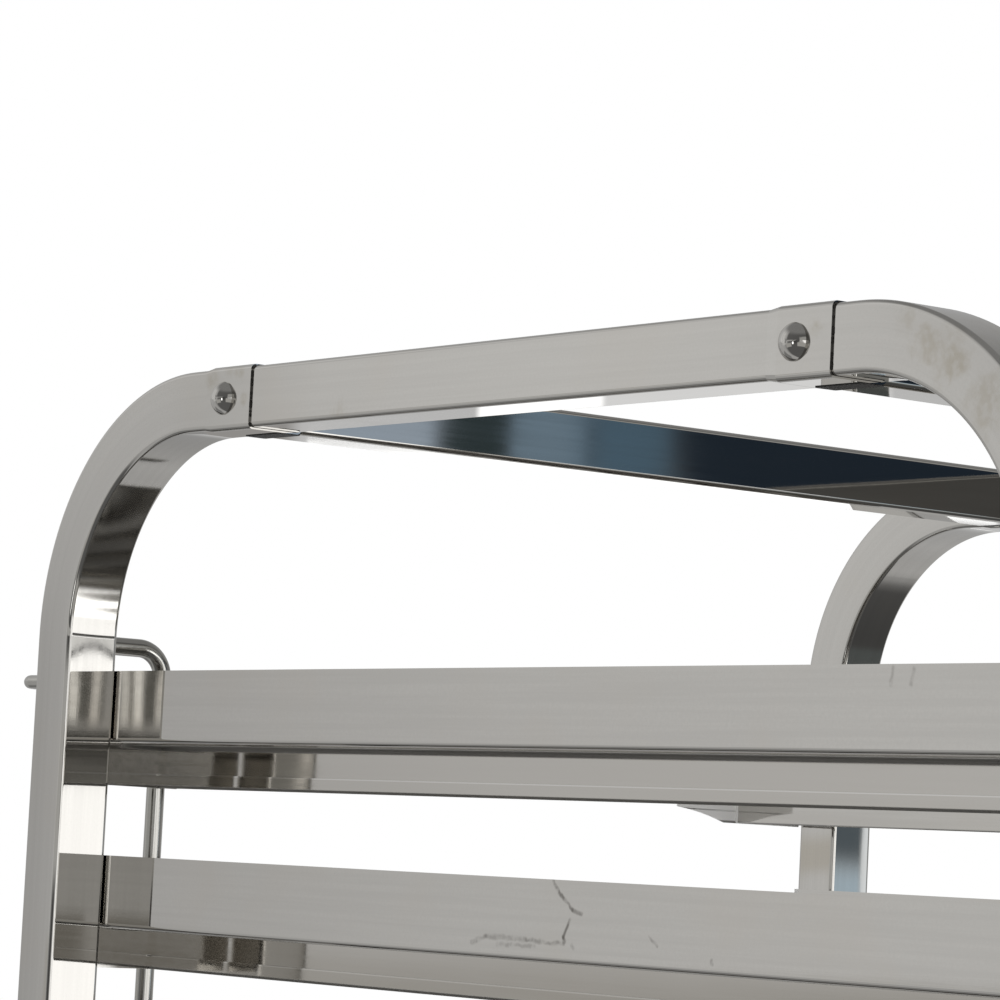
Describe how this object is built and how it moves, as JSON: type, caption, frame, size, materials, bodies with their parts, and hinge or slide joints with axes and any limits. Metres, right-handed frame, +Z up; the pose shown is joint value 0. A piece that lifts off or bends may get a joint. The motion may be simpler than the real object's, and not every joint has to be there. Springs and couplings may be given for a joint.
{
  "type": "wheeled tray rack",
  "caption": "Tall open rack of bent square steel tube on castors, with ledge runners for trays or pans, bolted cross bars and a swinging lock bar at its loading end",
  "frame": {"origin": "on the floor, under the middle of the rack's four posts", "axes": "+Z up, +Y from the loading end to the back, +X to the right of someone loading trays"},
  "size_m": [0.501, 0.693, 1.7358],
  "materials": {
    "satin_tube": "satin",
    "runner_sheet": "satin",
    "polished_rod": "polished",
    "bolt_steel": "satin",
    "plain_steel": "machined",
    "zinc_steel": "bright zinc plate",
    "tyre_rubber": "matte grey rubber",
    "hub_plastic": "moulded",
    "plug_plastic": "moulded"
  },
  "bodies": {
    "frame": {"post_front_left": "satin_tube", "post_front_right": "satin_tube", "post_rear_left": "satin_tube", "post_rear_right": "satin_tube", "top_bar_left": "satin_tube", "top_bar_right": "satin_tube", "base_rail_left": "satin_tube", "base_rail_right": "satin_tube", "top_cross_bar_front": "satin_tube", "top_cross_bar_rear": "satin_tube", "base_cross_bar_front": "satin_tube", "base_cross_bar_rear": "satin_tube", "top_bolts": "bolt_steel", "base_cross_bolts": "bolt_steel", "base_rail_bolts": "bolt_steel", "top_threaded_plugs": "plug_plastic", "base_threaded_plugs": "plug_plastic", "runner_pair_01": "runner_sheet", "runner_pair_02": "runner_sheet", "runner_pair_03": "runner_sheet", "runner_pair_04": "runner_sheet", "runner_pair_05": "runner_sheet", "runner_pair_06": "runner_sheet", "runner_pair_07": "runner_sheet", "runner_pair_08": "runner_sheet", "runner_pair_09": "runner_sheet", "runner_pair_10": "runner_sheet", "runner_pair_11": "runner_sheet", "runner_pair_12": "runner_sheet", "runner_pair_13": "runner_sheet", "runner_pair_14": "runner_sheet", "runner_pair_15": "runner_sheet", "runner_pair_16": "runner_sheet", "runner_pair_17": "runner_sheet", "runner_pair_18": "runner_sheet", "lock_bar_eyes": "polished_rod", "castor_stems": "plain_steel", "castor_races": "zinc_steel", "post_foot_plugs": "plug_plastic"},
    "lock_bar": {"lock_bar": "polished_rod"},
    "castor_front_left": {"castor_fork_front_left": "zinc_steel", "castor_axle_front_left": "bolt_steel", "brake_pin_front_left": "bolt_steel"},
    "wheel_front_left": {"wheel_hub_front_left": "hub_plastic", "tyre_front_left": "tyre_rubber"},
    "pedal_front_left": {"brake_pedal_front_left": "zinc_steel"},
    "castor_front_right": {"castor_fork_front_right": "zinc_steel", "castor_axle_front_right": "bolt_steel"},
    "wheel_front_right": {"wheel_hub_front_right": "hub_plastic", "tyre_front_right": "tyre_rubber"},
    "castor_rear_left": {"castor_fork_rear_left": "zinc_steel", "castor_axle_rear_left": "bolt_steel"},
    "wheel_rear_left": {"wheel_hub_rear_left": "hub_plastic", "tyre_rear_left": "tyre_rubber"},
    "castor_rear_right": {"castor_fork_rear_right": "zinc_steel", "castor_axle_rear_right": "bolt_steel", "brake_pin_rear_right": "bolt_steel"},
    "wheel_rear_right": {"wheel_hub_rear_right": "hub_plastic", "tyre_rear_right": "tyre_rubber"},
    "pedal_rear_right": {"brake_pedal_rear_right": "zinc_steel"}
  },
  "joints": [
    {"name": "lock_bar_swing", "type": "hinge", "parent": "frame", "child": "lock_bar", "pos_m": [0.2225, -0.32, 0.9], "axis": [0, 0, 1], "range_deg": [0, 180]},
    {"name": "castor_swivel_front_left", "type": "hinge", "parent": "frame", "child": "castor_front_left", "pos_m": [-0.2225, -0.2975, 0.14], "axis": [0, 0, 1], "continuous": true},
    {"name": "wheel_spin_front_left", "type": "hinge", "parent": "castor_front_left", "child": "wheel_front_left", "pos_m": [-0.2225, -0.2615, 0.0625], "axis": [1, 0, 0], "continuous": true},
    {"name": "brake_pedal_front_left", "type": "hinge", "parent": "castor_front_left", "child": "pedal_front_left", "pos_m": [-0.2225, -0.3035, 0.121], "axis": [-1, 0, 0], "range_deg": [0, 24]},
    {"name": "castor_swivel_front_right", "type": "hinge", "parent": "frame", "child": "castor_front_right", "pos_m": [0.2225, -0.2975, 0.14], "axis": [0, 0, 1], "continuous": true},
    {"name": "wheel_spin_front_right", "type": "hinge", "parent": "castor_front_right", "child": "wheel_front_right", "pos_m": [0.2225, -0.2615, 0.0625], "axis": [1, 0, 0], "continuous": true},
    {"name": "castor_swivel_rear_left", "type": "hinge", "parent": "frame", "child": "castor_rear_left", "pos_m": [-0.2225, 0.2975, 0.14], "axis": [0, 0, 1], "continuous": true},
    {"name": "wheel_spin_rear_left", "type": "hinge", "parent": "castor_rear_left", "child": "wheel_rear_left", "pos_m": [-0.2225, 0.2615, 0.0625], "axis": [1, 0, 0], "continuous": true},
    {"name": "castor_swivel_rear_right", "type": "hinge", "parent": "frame", "child": "castor_rear_right", "pos_m": [0.2225, 0.2975, 0.14], "axis": [0, 0, 1], "continuous": true},
    {"name": "wheel_spin_rear_right", "type": "hinge", "parent": "castor_rear_right", "child": "wheel_rear_right", "pos_m": [0.2225, 0.2615, 0.0625], "axis": [1, 0, 0], "continuous": true},
    {"name": "brake_pedal_rear_right", "type": "hinge", "parent": "castor_rear_right", "child": "pedal_rear_right", "pos_m": [0.2225, 0.3035, 0.121], "axis": [1, 0, 0], "range_deg": [0, 24]}
  ]
}
